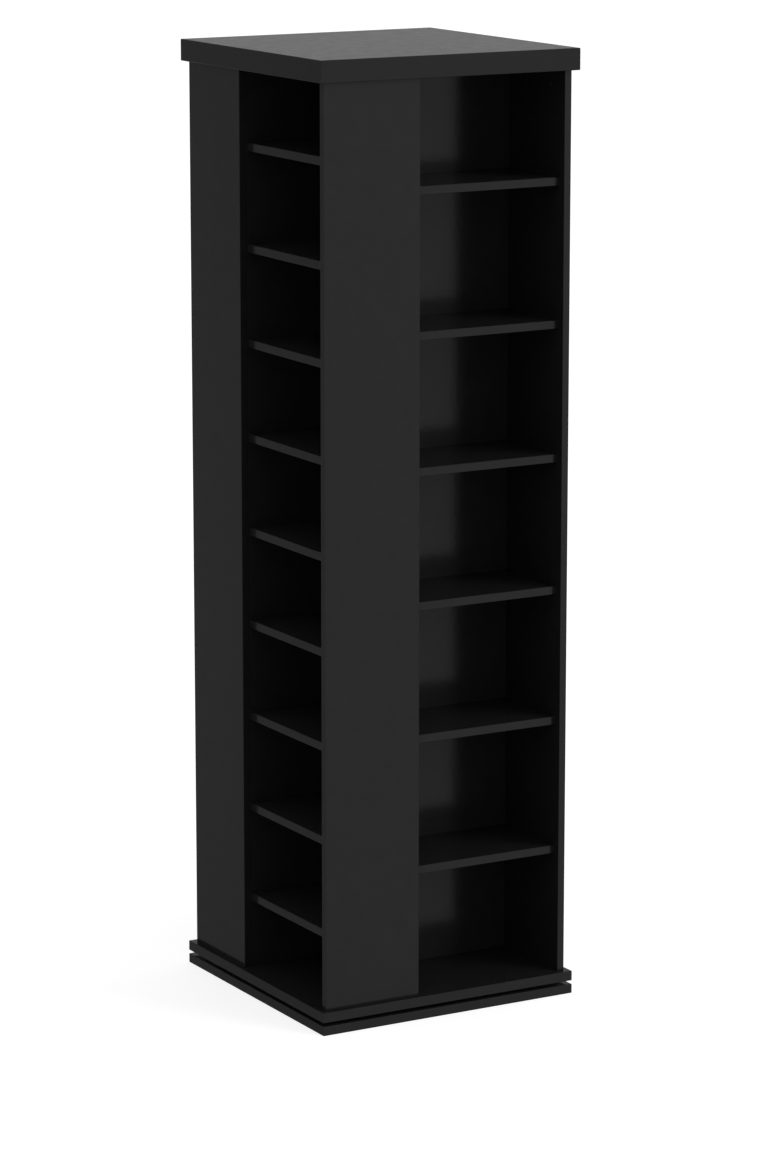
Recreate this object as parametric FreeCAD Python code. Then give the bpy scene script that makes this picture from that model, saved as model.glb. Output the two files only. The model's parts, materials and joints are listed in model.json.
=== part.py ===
import FreeCAD, Part
import math
import os

# Rotating media tower: a square column of open shelves that turns on a flat base.
# Millimetres, +Z up, the origin on the floor under the middle of the base.
# The column is one unit set at quarter turns. Seen from outside, a unit has an outer panel
# on its left, an open cell on its right, and a thin inner wall behind the cell. The four inner
# walls butt round a closed square shaft, and each also ends the shelves of the next cell.

# Boards
tower_height = 1600.2
column_width = 462.0
top_thickness = 36.2
top_overhang = 10.3            # top board past each face of the column
base_thickness = 15.9
turning_thickness = 17.0
base_overhang = 10.3           # base and turning boards past each face of the column
panel_width = 176.9
panel_thickness = 12.7
wall_thickness = 3.2
wall_groove_depth = 5.0        # how far a wall enters the top and turning boards
wall_groove_clearance = 0.1    # on each side of a wall in its groove
shelf_thickness = 14.1
shelf_recess = 13.6            # face of the column to the front edge of a shelf
board_edge_radius = 1.0
top_edge_radius = 1.5

# Shelf layouts. The step below the top shelf is larger than the even steps under it.
movie_shelf_count = 6
movie_top_clear = 175.0
movie_bottom_clear = 204.7
movie_first_step_extra = 12.5
disc_shelf_count = 9
disc_top_clear = 120.4
disc_bottom_clear = 115.4
disc_first_step_extra = 8.7

# Turntable bearing: two square plates with a ring of caged balls between them
plate_width = 230.0
plate_thickness = 1.5
plate_corner_radius = 10.0
plate_eye_diameter = 130.0
track_diameter = 160.0
ball_diameter = 4.0
ball_count = 30
ball_clearance = 0.35          # radial, in the tracks
track_depth = 0.75             # groove in a plate's face
cage_width = 11.0
cage_thickness = 0.8
cage_clearance = 0.1           # radial, round each ball
plate_screw_inset = 12.0
plate_screw_diameter = 4.0
plate_screw_length = 12.0
plate_screw_head_diameter = 8.0
plate_screw_head_height = 1.1
plate_hole_clearance = 0.2     # radial, round a screw's shank
access_hole_diameter = 20.0

# Dowels
dowel_diameter = 8.0
dowel_length = 30.0
dowel_entry_depth = 8.0        # part of a dowel that stands in a panel's face
dowel_chamfer = 0.8
dowel_clearance = 0.05         # radial
hole_end_clearance = 0.5       # past the end of a dowel or bolt
shelf_dowel_inset = 40.0

# Cam fittings: a bolt in one board, caught by a cam in the board that butts on it
cam_diameter = 12.0
cam_depth = 9.5
cam_reach = 24.0               # joint to the middle of the cam
cam_clearance = 0.1            # radial, and under the cam
cam_recess_diameter = 4.4
cam_recess_depth = 1.6
cam_cross_width = 1.2
cam_cross_length = 7.0
cap_diameter = 14.0
cap_thickness = 0.8
cap_chamfer = 0.3
bolt_thread_diameter = 5.0
bolt_thread_length = 11.0
bolt_shank_diameter = 5.0
bolt_neck_diameter = 3.4
bolt_head_length = 2.5
bolt_clearance = 0.3           # radial, round shank, neck and head
board_end_inset = 50.0         # side of a panel to its top cams and bottom screws

# Carcass screws, up through the turning board into the panels
carcass_screw_diameter = 4.5
carcass_screw_length = 50.0
carcass_screw_head_diameter = 9.0
carcass_screw_point_length = 6.0
thread_clearance = 0.05        # radial, round a screwed-in thread

# Shelf screws, out of the shaft through an inner wall into the back edge of a shelf
shelf_screw_diameter = 3.5
shelf_screw_length = 25.0
shelf_screw_head_diameter = 6.6
shelf_screw_point_length = 4.0
shelf_screw_inset = 24.0       # from each side of the shaft

# A length below which two surfaces count as touching, or an edge as parallel to an axis
touch_tolerance = 0.01

# Levels and places that follow from the sizes above
top_width = column_width + 2 * top_overhang
base_width = column_width + 2 * base_overhang
bearing_height = ball_diameter + 2 * ball_clearance + 2 * (plate_thickness - track_depth)
turning_bottom = base_thickness + bearing_height
column_bottom = turning_bottom + turning_thickness
column_top = tower_height - top_thickness
column_half = column_width / 2
shaft_half = column_half - panel_width
panel_inner_y = -column_half + panel_thickness
panel_middle_y = -column_half + panel_thickness / 2
wall_front_y = -shaft_half - wall_thickness
cell_left_x = -shaft_half
cell_right_x = column_half - panel_thickness
shelf_front_y = -column_half + shelf_recess
bearing_middle = base_thickness + bearing_height / 2
track_radius = track_diameter / 2
plate_screw_offset = plate_width / 2 - plate_screw_inset

origin = FreeCAD.Vector(0, 0, 0)
right = FreeCAD.Vector(1, 0, 0)
inward = FreeCAD.Vector(0, 1, 0)
up = FreeCAD.Vector(0, 0, 1)
outward = inward * -1
down = up * -1

movie_layout = (movie_shelf_count, movie_top_clear, movie_bottom_clear, movie_first_step_extra)
disc_layout = (disc_shelf_count, disc_top_clear, disc_bottom_clear, disc_first_step_extra)
# Each side's name, shelf layout and turn from the front, in degrees about +Z
sides = [
    ("front", movie_layout, 0),
    ("left", disc_layout, -90),
    ("back", movie_layout, 180),
    ("right", disc_layout, 90),
]


def box(low_x, high_x, low_y, high_y, low_z, high_z):
    corner = FreeCAD.Vector(low_x, low_y, low_z)
    return Part.makeBox(high_x - low_x, high_y - low_y, high_z - low_z, corner)


def along(edge, axis):
    """Whether a straight edge runs along an axis."""
    direction = edge.Vertexes[-1].Point - edge.Vertexes[0].Point
    return abs(direction.dot(axis)) > edge.Length - touch_tolerance


def square_board(width, low_z, thickness, edge_radius):
    """A square board about the Z axis, with every edge softened."""
    half = width / 2
    board = box(-half, half, -half, half, low_z, low_z + thickness)
    return board.makeFillet(edge_radius, board.Edges)


def rod(point, direction, length, diameter):
    return Part.makeCylinder(diameter / 2, length, point, direction)


def turned_piece(profile):
    """A solid of revolution about Z from (radius, z) corners."""
    corners = [FreeCAD.Vector(radius, 0, z) for radius, z in profile]
    face = Part.Face(Part.makePolygon(corners + corners[:1]))
    return face.revolve(origin, up, 360)


def placed(shape, point, z_axis, x_axis=None):
    """A copy of a shape made at the origin, moved to a point with its Z and X axes turned."""
    if x_axis is None:
        rotation = FreeCAD.Rotation(up, z_axis)
    else:
        rotation = FreeCAD.Rotation(x_axis, z_axis.cross(x_axis), z_axis, "ZXY")
    copy = shape.copy()
    copy.Placement = FreeCAD.Placement(point, rotation)
    return copy


def turned(shape, angle):
    copy = shape.copy()
    copy.rotate(origin, up, angle)
    return copy


def overlaps(box_a, box_b):
    """Whether two bounding boxes share more than a surface."""
    common = box_a.intersected(box_b)
    depth = min(common.XLength, common.YLength, common.ZLength)
    return common.isValid() and depth > touch_tolerance


def drilled(board, bores):
    """A board with every bore that reaches into it."""
    reached = [bore for bore in bores if overlaps(board.BoundBox, bore.BoundBox)]
    return board.cut(Part.makeCompound(reached)) if reached else board


def shelf_levels(layout):
    """Undersides of one side's shelves, from the top one down."""
    count, top_clear, bottom_clear, first_step_extra = layout
    highest = column_top - top_clear - shelf_thickness
    lowest = column_bottom + bottom_clear
    pitch = (highest - lowest - first_step_extra) / (count - 1)
    return [highest] + [lowest + pitch * steps for steps in range(count - 2, -1, -1)]


# Boards of one unit, in the place of the front one

def outer_panel():
    panel = box(-column_half, -shaft_half, -column_half, panel_inner_y, column_bottom, column_top)
    upright = [edge for edge in panel.Edges if along(edge, up)]
    return panel.makeFillet(board_edge_radius, upright)


def wall_at(clearance, end_clearance):
    """The space of an inner wall, grown on both faces and at its top and bottom."""
    return box(
        cell_left_x,
        cell_right_x,
        wall_front_y - clearance,
        -shaft_half + clearance,
        column_bottom - wall_groove_depth - end_clearance,
        column_top + wall_groove_depth + end_clearance,
    )


def inner_wall():
    return wall_at(0, 0)


def wall_groove():
    """What the top and turning boards lose to a wall that stands in both."""
    return wall_at(wall_groove_clearance, hole_end_clearance)


def shelf(level):
    board = box(cell_left_x, cell_right_x, shelf_front_y, wall_front_y, level, level + shelf_thickness)
    front_edges = []
    for edge in board.Edges:
        if along(edge, right) and edge.BoundBox.YMax < shelf_front_y + board_edge_radius:
            front_edges.append(edge)
    return board.makeFillet(board_edge_radius, front_edges)


# Where the fasteners of one unit go, each at a point on a face between two pieces

def shelf_dowel_joints(layout):
    """Two dowels at the right end of each shelf, and their way into the panel beside it."""
    depths = [shelf_front_y + shelf_dowel_inset, wall_front_y - shelf_dowel_inset]
    joints = []
    for level in shelf_levels(layout):
        height = level + shelf_thickness / 2
        for y in depths:
            joints.append((FreeCAD.Vector(cell_right_x, y, height), right))
    return joints


def shelf_screw_points(layout):
    """Two screws to a shelf, with their heads flush with the inner wall's shaft side."""
    offset = shaft_half - shelf_screw_inset
    points = []
    for level in shelf_levels(layout):
        height = level + shelf_thickness / 2
        for x in (-offset, offset):
            points.append(FreeCAD.Vector(x, -shaft_half, height))
    return points


def panel_stations():
    return (-column_half + board_end_inset, -shaft_half - board_end_inset)


def cam_joints():
    """Points on a panel's top end where a bolt comes down out of the top board."""
    return [FreeCAD.Vector(x, panel_middle_y, column_top) for x in panel_stations()]


def carcass_screw_points():
    return [FreeCAD.Vector(x, panel_middle_y, turning_bottom) for x in panel_stations()]


def plate_screw_points(height):
    corners = [(-1, -1), (-1, 1), (1, -1), (1, 1)]
    offset = plate_screw_offset
    return [FreeCAD.Vector(x * offset, y * offset, height) for x, y in corners]


# Fasteners, each made at the origin along Z and placed at its joint

def dowel():
    """A dowel whose joint is at the origin, its face end along +Z."""
    radius = dowel_diameter / 2
    low = dowel_entry_depth - dowel_length
    high = dowel_entry_depth
    return turned_piece([
        (0, low),
        (radius - dowel_chamfer, low),
        (radius, low + dowel_chamfer),
        (radius, high - dowel_chamfer),
        (radius - dowel_chamfer, high),
        (0, high),
    ])


def dowel_bore(joint):
    point, direction = joint
    start = point + direction * (dowel_entry_depth - dowel_length - hole_end_clearance)
    length = dowel_length + 2 * hole_end_clearance
    return rod(start, direction, length, dowel_diameter + 2 * dowel_clearance)


def cam_bolt():
    """A bolt whose joint is at the origin: thread along -Z, shank, neck and head along +Z."""
    thread = bolt_thread_diameter / 2
    shank = bolt_shank_diameter / 2
    neck = bolt_neck_diameter / 2
    head_start = cam_reach - bolt_head_length / 2
    shank_end = cam_reach - cam_diameter / 2
    return turned_piece([
        (0, -bolt_thread_length),
        (thread, -bolt_thread_length),
        (thread, 0),
        (shank, 0),
        (shank, shank_end),
        (neck, shank_end),
        (neck, head_start),
        (shank, head_start),
        (shank, head_start + bolt_head_length),
        (0, head_start + bolt_head_length),
    ])


def cam_lock():
    """A cam flush with the board at the origin, opening along +Z, its bolt coming from +X."""
    radius = cam_diameter / 2
    axis_depth = panel_thickness / 2
    lock = rod(down * cam_depth, up, cam_depth, cam_diameter)
    cavity_length = bolt_head_length + 2 * bolt_clearance
    cavity_start = FreeCAD.Vector(-cavity_length / 2, 0, -axis_depth)
    cavity = rod(cavity_start, right, cavity_length, bolt_shank_diameter + 2 * bolt_clearance)
    throat_start = FreeCAD.Vector(0, 0, -axis_depth)
    throat = rod(throat_start, right, radius, bolt_neck_diameter + 2 * bolt_clearance)
    recess = rod(down * cam_recess_depth, up, cam_recess_depth, cam_recess_diameter)
    arm = cam_cross_length / 2
    half_arm = cam_cross_width / 2
    cross = [
        box(-arm, arm, -half_arm, half_arm, -cam_recess_depth, 0),
        box(-half_arm, half_arm, -arm, arm, -cam_recess_depth, 0),
    ]
    return lock.cut([cavity, throat, recess] + cross)


def cam_cap():
    """A cover that lies on the board at the origin, with a stub that enters the cam's recess."""
    radius = cap_diameter / 2
    stub = cam_recess_diameter / 2 - cam_clearance
    return turned_piece([
        (0, cam_clearance - cam_recess_depth),
        (stub, cam_clearance - cam_recess_depth),
        (stub, 0),
        (radius, 0),
        (radius, cap_thickness - cap_chamfer),
        (radius - cap_chamfer, cap_thickness),
        (0, cap_thickness),
    ])


def cam_face_point(joint):
    """Middle of a cam's open face, on the inner face of its panel."""
    return joint + down * cam_reach + inward * (panel_thickness / 2)


def cam_bores(joint):
    """Thread hole, shank hole and cam pocket of one fitting."""
    thread_length = bolt_thread_length + hole_end_clearance
    pocket_start = cam_face_point(joint) + outward * (cam_depth + cam_clearance)
    return [
        rod(joint, up, thread_length, bolt_thread_diameter + 2 * thread_clearance),
        rod(joint, down, cam_reach, bolt_shank_diameter + 2 * bolt_clearance),
        rod(pocket_start, inward, cam_depth + cam_clearance, cam_diameter + 2 * cam_clearance),
    ]


def countersunk_screw(diameter, length, head_diameter, point_length, growth=0):
    """A screw with its flat head at the origin and its point along +Z, or its grown hole."""
    shank = diameter / 2 + growth
    head = head_diameter / 2 + growth
    return turned_piece([
        (0, 0),
        (head, 0),
        (shank, head - shank),
        (shank, length - point_length),
        (0, length + growth),
    ])


def pan_head_screw():
    """A screw whose head sits on the plane at the origin, its thread along -Z."""
    shank = plate_screw_diameter / 2
    head = plate_screw_head_diameter / 2
    tip = -plate_screw_length
    return turned_piece([
        (0, tip),
        (shank, tip + shank),
        (shank, 0),
        (head, 0),
        (head, plate_screw_head_height / 2),
        (head / 2, plate_screw_head_height),
        (0, plate_screw_head_height),
    ])


# Turntable bearing

def bearing_plate(low_z):
    half = plate_width / 2
    plate = box(-half, half, -half, half, low_z, low_z + plate_thickness)
    upright = [edge for edge in plate.Edges if along(edge, up)]
    plate = plate.makeFillet(plate_corner_radius, upright)
    groove = Part.makeTorus(
        track_radius,
        ball_diameter / 2 + ball_clearance,
        FreeCAD.Vector(0, 0, bearing_middle),
    )
    eye = rod(FreeCAD.Vector(0, 0, low_z), up, plate_thickness, plate_eye_diameter)
    hole_diameter = plate_screw_diameter + 2 * plate_hole_clearance
    holes = [rod(point, up, plate_thickness, hole_diameter) for point in plate_screw_points(low_z)]
    return plate.cut([groove, eye] + holes)


def ball_places():
    places = []
    for index in range(ball_count):
        angle = 2 * math.pi * index / ball_count
        x = track_radius * math.cos(angle)
        y = track_radius * math.sin(angle)
        places.append(FreeCAD.Vector(x, y, bearing_middle))
    return places


def bearing_balls():
    return [Part.makeSphere(ball_diameter / 2, place) for place in ball_places()]


def bearing_cage():
    low = FreeCAD.Vector(0, 0, bearing_middle - cage_thickness / 2)
    ring = rod(low, up, cage_thickness, track_diameter + cage_width)
    eye = rod(low, up, cage_thickness, track_diameter - cage_width)
    hole_diameter = ball_diameter + 2 * cage_clearance
    holes = []
    for place in ball_places():
        start = FreeCAD.Vector(place.x, place.y, low.z)
        holes.append(rod(start, up, cage_thickness, hole_diameter))
    return ring.cut([eye] + holes)


def plate_screw_bores(height, direction):
    """Thread holes in the board that a bearing plate is screwed to."""
    diameter = plate_screw_diameter + 2 * thread_clearance
    return [rod(point, direction, plate_screw_length, diameter) for point in plate_screw_points(height)]


def base_board():
    """The base, with a hole through which the upper plate's screws are driven."""
    board = square_board(base_width, 0, base_thickness, board_edge_radius)
    access_point = FreeCAD.Vector(plate_screw_offset * math.sqrt(2), 0, 0)
    access = rod(access_point, up, base_thickness, access_hole_diameter)
    return board.cut([access] + plate_screw_bores(base_thickness, down))


def turning_board(bores):
    board = square_board(base_width, turning_bottom, turning_thickness, board_edge_radius)
    return drilled(board, bores + plate_screw_bores(turning_bottom, up))


def top_board(bores):
    return drilled(square_board(top_width, column_top, top_thickness, top_edge_radius), bores)


# Fasteners of the whole column, and the bores they need

carcass_screw_size = (
    carcass_screw_diameter,
    carcass_screw_length,
    carcass_screw_head_diameter,
    carcass_screw_point_length,
)
shelf_screw_size = (
    shelf_screw_diameter,
    shelf_screw_length,
    shelf_screw_head_diameter,
    shelf_screw_point_length,
)
dowel_template = dowel()
bolt_template = cam_bolt()
lock_template = cam_lock()
cap_template = cam_cap()
carcass_screw_template = countersunk_screw(*carcass_screw_size)
carcass_bore_template = countersunk_screw(*carcass_screw_size, growth=thread_clearance)
shelf_screw_template = countersunk_screw(*shelf_screw_size)
shelf_bore_template = countersunk_screw(*shelf_screw_size, growth=thread_clearance)

shelf_dowels = []
shelf_screws = []
cam_bolts = []
cam_locks = []
cam_caps = []
carcass_screws = []
bores = []
grooves = []
for side_name, layout, angle in sides:
    grooves.append(turned(wall_groove(), angle))
    for joint in shelf_dowel_joints(layout):
        shelf_dowels.append(turned(placed(dowel_template, *joint), angle))
        bores.append(turned(dowel_bore(joint), angle))
    for point in shelf_screw_points(layout):
        shelf_screws.append(turned(placed(shelf_screw_template, point, outward), angle))
        bores.append(turned(placed(shelf_bore_template, point, outward), angle))
    for joint in cam_joints():
        face_point = cam_face_point(joint)
        cam_bolts.append(turned(placed(bolt_template, joint, down), angle))
        cam_locks.append(turned(placed(lock_template, face_point, inward, up), angle))
        cam_caps.append(turned(placed(cap_template, face_point, inward), angle))
        bores.extend(turned(bore, angle) for bore in cam_bores(joint))
    for point in carcass_screw_points():
        carcass_screws.append(turned(placed(carcass_screw_template, point, up), angle))
        bores.append(turned(placed(carcass_bore_template, point, up), angle))

lower_plate_top = base_thickness + plate_thickness
upper_plate_bottom = turning_bottom - plate_thickness
lower_screws = [placed(pan_head_screw(), point, up) for point in plate_screw_points(lower_plate_top)]
upper_screws = [placed(pan_head_screw(), point, down) for point in plate_screw_points(upper_plate_bottom)]

pieces = {
    "base_board": base_board(),
    "bearing_lower_plate": bearing_plate(base_thickness),
    "lower_plate_screws": Part.makeCompound(lower_screws),
    "bearing_cage": bearing_cage(),
    "bearing_balls": Part.makeCompound(bearing_balls()),
    "bearing_upper_plate": bearing_plate(upper_plate_bottom),
    "upper_plate_screws": Part.makeCompound(upper_screws),
    "turning_board": turning_board(bores + grooves),
    "top_board": top_board(bores + grooves),
    "shelf_dowels": Part.makeCompound(shelf_dowels),
    "shelf_screws": Part.makeCompound(shelf_screws),
    "cam_bolts": Part.makeCompound(cam_bolts),
    "cam_locks": Part.makeCompound(cam_locks),
    "cam_caps": Part.makeCompound(cam_caps),
    "carcass_screws": Part.makeCompound(carcass_screws),
}
for side_name, layout, angle in sides:
    pieces[side_name + "_panel"] = drilled(turned(outer_panel(), angle), bores)
    pieces[side_name + "_inner_wall"] = drilled(turned(inner_wall(), angle), bores)
    for number, level in enumerate(shelf_levels(layout), start=1):
        pieces[side_name + "_shelf_" + str(number)] = drilled(turned(shelf(level), angle), bores)

os.makedirs("parts", exist_ok=True)
for name, shape in pieces.items():
    shape.exportStep("parts/" + name + ".step")
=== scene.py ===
import json
import math
from collections import namedtuple

import bpy
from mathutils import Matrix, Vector


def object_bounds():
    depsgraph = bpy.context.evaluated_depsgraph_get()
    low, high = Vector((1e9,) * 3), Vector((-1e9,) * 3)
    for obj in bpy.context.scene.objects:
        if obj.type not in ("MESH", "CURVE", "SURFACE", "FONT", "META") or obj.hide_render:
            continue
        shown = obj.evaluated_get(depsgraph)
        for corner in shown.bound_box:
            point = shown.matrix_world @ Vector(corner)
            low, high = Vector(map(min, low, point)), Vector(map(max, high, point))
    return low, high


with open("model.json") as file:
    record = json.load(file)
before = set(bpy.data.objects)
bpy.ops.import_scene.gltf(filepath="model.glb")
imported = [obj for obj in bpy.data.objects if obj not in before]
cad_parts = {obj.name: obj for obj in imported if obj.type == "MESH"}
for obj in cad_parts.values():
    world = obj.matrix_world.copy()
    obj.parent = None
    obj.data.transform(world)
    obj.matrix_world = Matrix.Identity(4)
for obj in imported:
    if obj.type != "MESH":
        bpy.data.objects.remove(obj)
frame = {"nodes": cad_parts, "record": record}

cad_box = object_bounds()

# Rotating media tower in a plain white studio. Metres, +Z up, in the frame of the CAD model, where
# the front side faces -Y and the left side -X. Every shape comes from the CAD model; this script
# adds the camera, the light, the floor and the materials.

# Camera, over an image 761 x 1166 pixels large
IMAGE_HEIGHT = 1166
CAMERA_PLACE = (-3.5021, -6.1319, 2.1841)
CAMERA_YAW = 29.764           # degrees from +Y towards +X
CAMERA_PITCH = -11.921        # degrees above the horizon
FOCAL_PIXELS = 4276.7
SENSOR_SIZE = 36.0            # mm, along the image's longer side
CAMERA_RANGE = 200.0          # how far it sees

WHITE = (1.0, 1.0, 1.0, 1.0)

# Plain light: an even room, and one large soft lamp ahead on the right
ROOM_LIGHT = 0.68
KEY_PLACE = (16.5, -21.0, 13.5)
KEY_SIZE = 12.0
KEY_POWER = 3150.0

# Floor and backdrop, white to the camera, in mirrors and behind something clear
BACKDROP_LEVEL = 1.0
FLOOR_HALF = 30.0
FLOOR_ALBEDO = 0.50
FLOOR_GLOW = 0.72             # added where it is the backdrop, so that the lit floor shows white

# Noises, with their features per metre. A depth is in metres, and roughness goes with the tones.
Noise = namedtuple("Noise", "scale detail")
NOISE_REACH = (0.25, 0.75)    # most of what a noise gives lies between these

# Black boards. They have next to no colour of their own and show by their gloss. It stays even as a
# face turns away from the view, because its specular level falls from the first to the second value.
BOARD_IOR = 1.5
BOARD_SPECULAR = (0.146, 0.0212)
TURNED_AWAY = (0.15, 0.51)    # where it falls, from 0 for a face seen head-on to 1 for one on edge
BOARD_TONES = (0.0106, 0.0129)
# The hardboard walls inside the cells are a tenth lighter than the other boards: painted light that
# lifts the shade inside the cells.
WALL_TONES_WITH_PAINTED_LIGHT = (0.0117, 0.0142)
BOARD_ROUGHNESS = (0.145, 0.165)
TOP_ROUGHNESS = (0.30, 0.36)  # softer, which shows where the top is seen at a grazing angle
CLOUD = Noise(45.0, 6.0)
RIPPLE = Noise(150.0, 3.0)
RIPPLE_DEPTH = 0.00012
PORES = Noise(1800.0, 1.0)
PORE_DEPTH = 0.000004

# Beech dowels
BEECH_TONES = ((0.56, 0.36, 0.20), (0.80, 0.61, 0.41))
BEECH_ROUGHNESS = (0.72, 0.58)
FLECKS = Noise(900.0, 4.0)
FLECK_DEPTH = 0.00005

# Nylon cage of the bearing
NYLON_TONES = ((0.70, 0.67, 0.59), (0.78, 0.76, 0.69))
NYLON_ROUGHNESS = (0.38, 0.48)
NYLON_CLOUD = Noise(120.0, 2.0)
NYLON_GRAIN = Noise(1500.0, 2.0)
NYLON_GRAIN_DEPTH = 0.000006

# Metals, by the slot they fill
METAL_GRAIN_DETAIL = 5.0
Metal = namedtuple("Metal", "tones roughness grain_scale grain_depth")
METALS = {
    "zinc_plate": Metal(((0.52, 0.54, 0.56), (0.68, 0.69, 0.70)), (0.28, 0.40), 260.0, 0.000004),
    "zinc_screw": Metal(((0.56, 0.54, 0.46), (0.72, 0.71, 0.64)), (0.24, 0.36), 700.0, 0.000004),
    "cam_zinc": Metal(((0.44, 0.45, 0.46), (0.60, 0.61, 0.62)), (0.40, 0.55), 900.0, 0.00002),
    "ball_steel": Metal(((0.70, 0.70, 0.71), (0.78, 0.78, 0.79)), (0.06, 0.10), 500.0, 0.0000005),
}


def grey(level):
    return (level, level, level)


class Nodes:
    """The emptied node tree of a material or world. An input takes a value or an output to join."""

    def __init__(self, owner):
        owner.use_nodes = True
        self.tree = owner.node_tree
        self.tree.nodes.clear()

    def add(self, kind, inputs=None, output=0, **settings):
        """Adds a node and gives one of its outputs. Inputs and outputs go by name or number."""
        node = self.tree.nodes.new("ShaderNode" + kind)
        for name, value in settings.items():
            setattr(node, name, value)
        for name, value in (inputs or {}).items():
            if isinstance(value, bpy.types.NodeSocket):
                self.tree.links.new(value, node.inputs[name])
            else:
                node.inputs[name].default_value = value
        return node.outputs[output] if node.outputs else None

    def scaled(self, value, reach, low, high, shape="LINEAR"):
        """Goes from low to high while the value goes through its reach."""
        inputs = {
            "Value": value,
            "From Min": reach[0],
            "From Max": reach[1],
            "To Min": low,
            "To Max": high,
        }
        return self.add("MapRange", inputs, interpolation_type=shape)

    def fade(self, value, reach, low, high):
        """Goes from low to high as scaled does, with a soft start and end."""
        return self.scaled(value, reach, low, high, shape="SMOOTHSTEP")

    def noise(self, kind):
        """Soft noise from 0 to 1 that stays with the object."""
        place = self.add("TexCoord", output="Object")
        return self.add("TexNoise", {"Vector": place, "Scale": kind.scale, "Detail": kind.detail})

    def between(self, noise, low, high):
        """A number that follows a noise."""
        return self.scaled(noise, NOISE_REACH, low, high)

    def colour(self, noise, dark, light):
        """A colour that follows a noise."""
        ramp = self.tree.nodes.new("ShaderNodeValToRGB")
        for stop, place, tone in zip(ramp.color_ramp.elements, NOISE_REACH, (dark, light)):
            stop.position = place
            stop.color = (*tone, 1)
        self.tree.links.new(noise, ramp.inputs[0])
        return ramp.outputs[0]

    def bump(self, height, depth, over=None):
        """The normal of a bumped surface, over another bump or none."""
        inputs = {"Height": height, "Distance": depth}
        if over is not None:
            inputs["Normal"] = over
        return self.add("Bump", inputs)

    def shows_backdrop(self):
        """1 for a ray that shows the backdrop: the camera's, a mirrored or a transmitted one."""
        is_camera = self.add("LightPath", output="Is Camera Ray")
        is_glossy = self.add("LightPath", output="Is Glossy Ray")
        is_transmission = self.add("LightPath", output="Is Transmission Ray")
        is_bounced = self.add("Math", {0: is_glossy, 1: is_transmission}, operation="MAXIMUM")
        return self.add("Math", {0: is_camera, 1: is_bounced}, operation="MAXIMUM")


# Camera, light and floor

def add_camera():
    data = bpy.data.cameras.new("camera")
    data.sensor_width = SENSOR_SIZE
    data.lens = FOCAL_PIXELS * SENSOR_SIZE / IMAGE_HEIGHT
    data.clip_end = CAMERA_RANGE
    camera = bpy.data.objects.new("camera", data)
    camera.location = CAMERA_PLACE
    camera.rotation_euler = (math.radians(90 + CAMERA_PITCH), 0, math.radians(-CAMERA_YAW))
    bpy.context.collection.objects.link(camera)
    bpy.context.scene.camera = camera


def add_world():
    """White where it is the backdrop, even light to all else."""
    world = bpy.data.worlds.new("studio")
    bpy.context.scene.world = world
    nodes = Nodes(world)
    even = nodes.add("Background", {"Color": WHITE, "Strength": ROOM_LIGHT})
    white = nodes.add("Background", {"Color": WHITE, "Strength": BACKDROP_LEVEL})
    studio = nodes.add("MixShader", {0: nodes.shows_backdrop(), 1: even, 2: white})
    nodes.add("OutputWorld", {"Surface": studio})


def add_floor():
    """A wide pale sheet that takes the shadow."""
    mesh = bpy.data.meshes.new("floor")
    corners = [(x * FLOOR_HALF, y * FLOOR_HALF, 0) for x, y in ((-1, -1), (1, -1), (1, 1), (-1, 1))]
    mesh.from_pydata(corners, [], [(0, 1, 2, 3)])
    floor = bpy.data.objects.new("floor", mesh)
    bpy.context.collection.objects.link(floor)
    material = bpy.data.materials.new("floor_paper")
    material.cycles.emission_sampling = "NONE"
    mesh.materials.append(material)
    nodes = Nodes(material)
    glow_level = nodes.add("Math", {0: nodes.shows_backdrop(), 1: FLOOR_GLOW}, operation="MULTIPLY")
    glow = nodes.add("Emission", {"Color": WHITE, "Strength": glow_level})
    paper = nodes.add("BsdfDiffuse", {"Color": (*grey(FLOOR_ALBEDO), 1)})
    nodes.add("OutputMaterial", {"Surface": nodes.add("AddShader", {0: paper, 1: glow})})


def add_key_lamp():
    """A lamp that lights the boards and isn't mirrored in them."""
    data = bpy.data.lights.new("key", "AREA")
    data.shape = "SQUARE"
    data.size = KEY_SIZE
    data.energy = KEY_POWER
    lamp = bpy.data.objects.new("key", data)
    lamp.location = KEY_PLACE
    lamp.visible_camera = False
    lamp.visible_glossy = False
    middle = (cad_box[0] + cad_box[1]) / 2
    lamp.rotation_euler = (middle - Vector(KEY_PLACE)).to_track_quat("-Z", "Y").to_euler()
    bpy.context.collection.objects.link(lamp)


# Materials, each named after the slot it fills

def new_material(slot):
    material = bpy.data.materials.new(slot)
    return material, Nodes(material)


def black_board(slot, tones, roughness):
    """Satin black face of a board: a cloudy gloss, a faint ripple from the press, fine pores."""
    material, nodes = new_material(slot)
    cloud = nodes.noise(CLOUD)
    rippled = nodes.bump(nodes.noise(RIPPLE), RIPPLE_DEPTH)
    dark, light = tones
    turned_away = nodes.add("LayerWeight", output="Facing")
    shader = nodes.add("BsdfPrincipled", {
        "Base Color": nodes.colour(cloud, grey(dark), grey(light)),
        "Roughness": nodes.between(cloud, *roughness),
        "Normal": nodes.bump(nodes.noise(PORES), PORE_DEPTH, over=rippled),
        "IOR": BOARD_IOR,
        "Specular IOR Level": nodes.fade(turned_away, TURNED_AWAY, *BOARD_SPECULAR),
    })
    nodes.add("OutputMaterial", {"Surface": shader})
    return material


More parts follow.
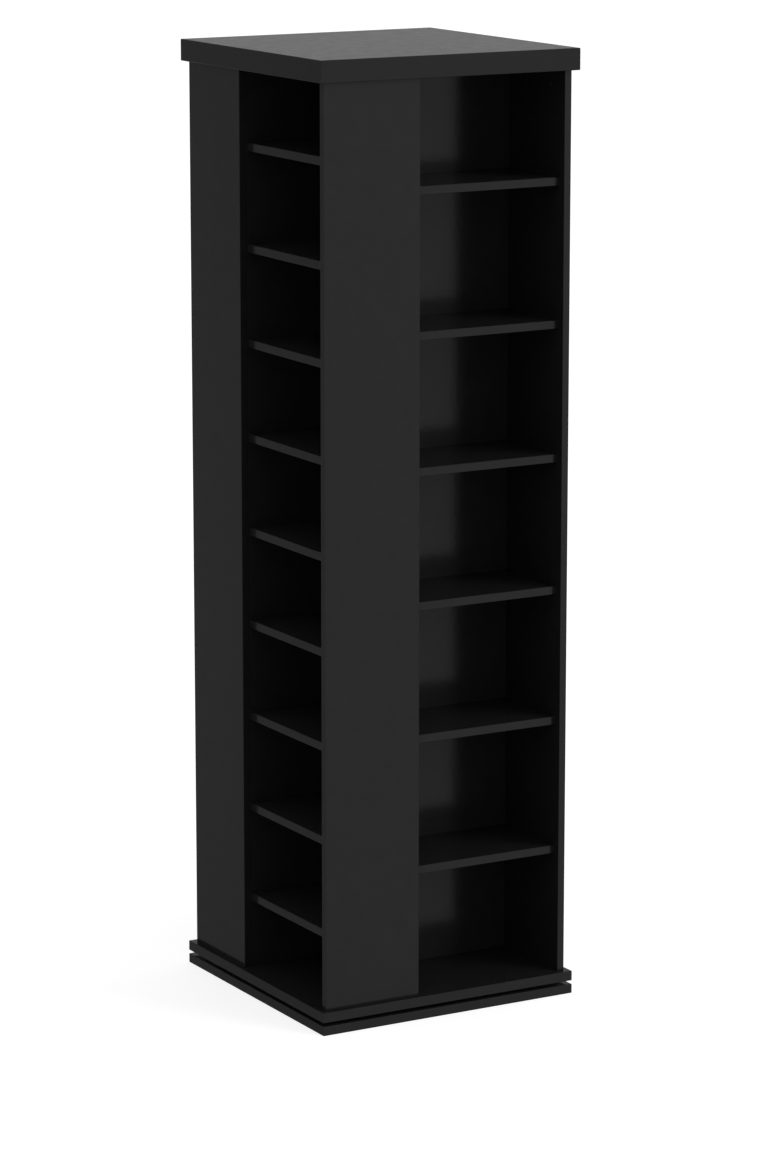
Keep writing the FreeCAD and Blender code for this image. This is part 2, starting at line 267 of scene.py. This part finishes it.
def beech(slot):
    """Bare beech: pale, with short darker flecks that lie a little deeper."""
    material, nodes = new_material(slot)
    flecks = nodes.noise(FLECKS)
    shader = nodes.add("BsdfPrincipled", {
        "Base Color": nodes.colour(flecks, *BEECH_TONES),
        "Roughness": nodes.between(flecks, *BEECH_ROUGHNESS),
        "Normal": nodes.bump(flecks, FLECK_DEPTH),
    })
    nodes.add("OutputMaterial", {"Surface": shader})
    return material


def nylon(slot):
    """Natural nylon: cloudy, with the fine grain of an eroded mould."""
    material, nodes = new_material(slot)
    grain = nodes.noise(NYLON_GRAIN)
    shader = nodes.add("BsdfPrincipled", {
        "Base Color": nodes.colour(nodes.noise(NYLON_CLOUD), *NYLON_TONES),
        "Roughness": nodes.between(grain, *NYLON_ROUGHNESS),
        "Normal": nodes.bump(grain, NYLON_GRAIN_DEPTH),
    })
    nodes.add("OutputMaterial", {"Surface": shader})
    return material


def metal(slot, finish):
    """A metal whose tone, gloss and surface follow one grain."""
    material, nodes = new_material(slot)
    grain = nodes.noise(Noise(finish.grain_scale, METAL_GRAIN_DETAIL))
    shader = nodes.add("BsdfPrincipled", {
        "Base Color": nodes.colour(grain, *finish.tones),
        "Metallic": 1.0,
        "Roughness": nodes.between(grain, *finish.roughness),
        "Normal": nodes.bump(grain, finish.grain_depth),
    })
    nodes.add("OutputMaterial", {"Surface": shader})
    return material


def make_materials():
    """A material for every slot in the record."""
    materials = {slot: metal(slot, finish) for slot, finish in METALS.items()}
    materials["beech_dowel"] = beech("beech_dowel")
    materials["cage_plastic"] = nylon("cage_plastic")
    # The inner walls take the lighter tones, painted light that brightens the shade in the cells.
    materials["wall_hardboard"] = black_board("wall_hardboard", WALL_TONES_WITH_PAINTED_LIGHT, BOARD_ROUGHNESS)
    materials["top_laminate"] = black_board("top_laminate", BOARD_TONES, TOP_ROUGHNESS)
    for slot in ("board_laminate", "shelf_laminate", "cap_plastic"):
        materials[slot] = black_board(slot, BOARD_TONES, BOARD_ROUGHNESS)
    return materials


def dress(materials):
    """Gives every node of the CAD model the material of its slot."""
    for subpart in frame["record"]["subparts"]:
        for filled in frame["nodes"][subpart["node"]].material_slots:
            filled.material = materials[subpart["material_slot"]]


add_camera()
add_world()
add_floor()
add_key_lamp()
dress(make_materials())
bpy.context.scene.view_settings.view_transform = "Standard"
